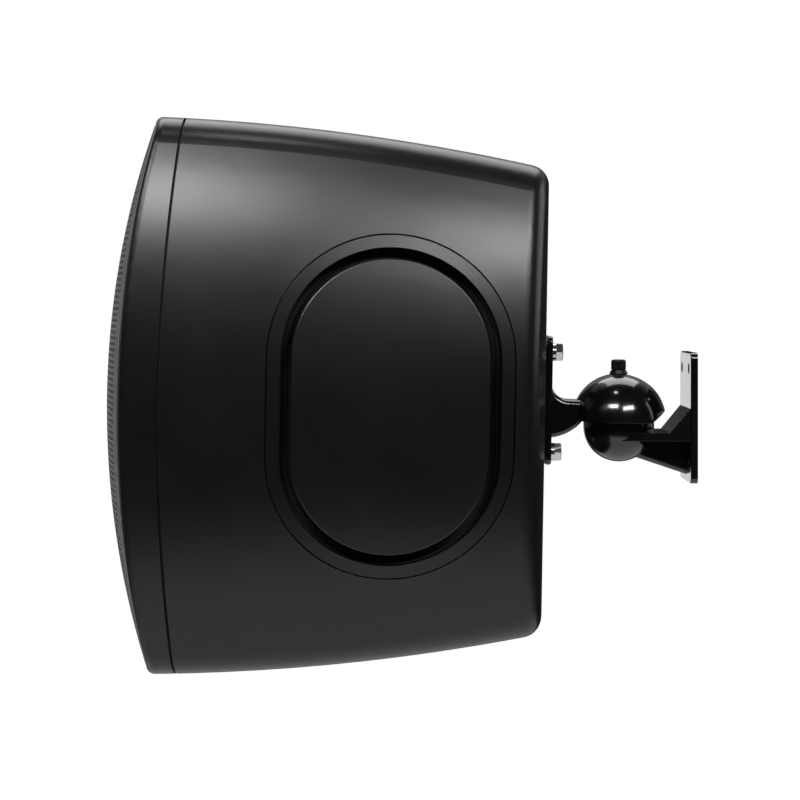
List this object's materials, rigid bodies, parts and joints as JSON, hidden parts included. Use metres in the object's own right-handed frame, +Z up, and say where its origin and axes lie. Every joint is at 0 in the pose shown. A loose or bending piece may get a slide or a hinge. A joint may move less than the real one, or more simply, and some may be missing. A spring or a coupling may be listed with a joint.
{
  "type": "outdoor patio speaker",
  "caption": "Weatherproof outdoor loudspeaker with a curved front grille and oval side radiators, held off the wall by a tilting and turning ball bracket.",
  "frame": {"origin": "centre of the wall plate's back face", "axes": "+X into the wall, +Y to the speaker's own right, +Z up; the speaker looks towards -X"},
  "size_m": [0.3478, 0.2098, 0.3239],
  "materials": {
    "cast_black": "gloss black powder coat on a casting",
    "zinc_steel": "zinc plated",
    "black_steel": "black oxide",
    "brass": "plated",
    "cabinet_plastic": "satin black moulding",
    "trim_plastic": "satin black moulding",
    "seal_rubber": "matte black rubber",
    "grille_steel": "black powder coat on pressed sheet",
    "basket_steel": "black coated pressing",
    "cone": "mineral filled cone",
    "coil": "enamelled wire on a former",
    "spider_cloth": "resin treated cloth",
    "plain_steel": "plated",
    "ferrite": "ferrite",
    "dome_cloth": "coated cloth",
    "board": "circuit board laminate",
    "copper": "enamelled copper wire",
    "capacitor": "film capacitor case",
    "cap_red": "clear red lacquer",
    "cap_black": "black lacquer"
  },
  "bodies": {
    "wall_bracket": {"wall_bracket": "cast_black", "clamp_bolt": "black_steel"},
    "saddle": {"saddle_washer": "black_steel"},
    "woofer_cone": {"woofer_cone": "cone", "dust_cap": "cone", "woofer_voice_coil": "coil"},
    "tweeter_dome": {"tweeter_dome": "dome_cloth"},
    "radiator_panel_left": {"radiator_panel_left": "cabinet_plastic"},
    "radiator_panel_right": {"radiator_panel_right": "cabinet_plastic"},
    "terminal_cap_red": {"terminal_cap_red": "cap_red"},
    "terminal_cap_black": {"terminal_cap_black": "cap_black"},
    "head": {"speaker_bracket": "cast_black", "bracket_washers": "zinc_steel", "bracket_lock_washers": "zinc_steel", "bracket_bolts": "zinc_steel", "threaded_inserts": "brass", "cabinet": "cabinet_plastic", "front_baffle": "trim_plastic", "baffle_seal": "seal_rubber", "baffle_screws": "black_steel", "grille": "grille_steel", "woofer_frame": "basket_steel", "woofer_surround": "seal_rubber", "woofer_spider": "spider_cloth", "woofer_top_plate": "plain_steel", "woofer_magnet": "ferrite", "woofer_yoke": "plain_steel", "woofer_screws": "black_steel", "tweeter_waveguide": "trim_plastic", "tweeter_magnet": "ferrite", "tweeter_screws": "black_steel", "crossover_board": "board", "board_screws": "plain_steel", "crossover_inductor": "copper", "crossover_capacitors": "capacitor", "terminal_cup": "trim_plastic", "terminal_screws": "black_steel", "terminal_nuts": "brass", "terminal_post_red": "brass", "terminal_post_black": "brass", "radiator_frame_left": "trim_plastic", "radiator_surround_left": "seal_rubber", "radiator_frame_right": "trim_plastic", "radiator_surround_right": "seal_rubber"}
  },
  "joints": [
    {"name": "pan", "type": "hinge", "parent": "wall_bracket", "child": "saddle", "pos_m": [-0.0443, 0, -0.0058], "axis": [0, 0, 1], "range_deg": [-45, 45]},
    {"name": "tilt", "type": "hinge", "parent": "saddle", "child": "head", "pos_m": [-0.0443, 0, -0.0058], "axis": [0, 1, 0], "range_deg": [-20, 7]},
    {"name": "woofer_stroke", "type": "slide", "parent": "head", "child": "woofer_cone", "axis": [-0.9998, 0, 0.0175], "range_m": [-0.004, 0.004], "stiffness_N_per_m": 1500, "deforming": ["woofer_surround", "woofer_spider"]},
    {"name": "tweeter_stroke", "type": "slide", "parent": "head", "child": "tweeter_dome", "axis": [-0.9998, 0, 0.0175], "range_m": [-0.0004, 0.0004], "stiffness_N_per_m": 200},
    {"name": "radiator_stroke_left", "type": "slide", "parent": "head", "child": "radiator_panel_left", "axis": [0.068, -0.9977, -0.0012], "range_m": [-0.004, 0.004], "stiffness_N_per_m": 2900, "deforming": ["radiator_surround_left"]},
    {"name": "radiator_stroke_right", "type": "slide", "parent": "head", "child": "radiator_panel_right", "axis": [0.068, 0.9977, -0.0012], "range_m": [-0.004, 0.004], "stiffness_N_per_m": 2900, "deforming": ["radiator_surround_right"]},
    {"name": "terminal_turn_red", "type": "hinge", "parent": "head", "child": "terminal_cap_red", "pos_m": [-0.10699, -0.013, -0.07332], "axis": [0.9998, 0, -0.0175], "range_deg": [0, 360]},
    {"name": "terminal_turn_black", "type": "hinge", "parent": "head", "child": "terminal_cap_black", "pos_m": [-0.10699, 0.013, -0.07332], "axis": [0.9998, 0, -0.0175], "range_deg": [0, 360]}
  ]
}
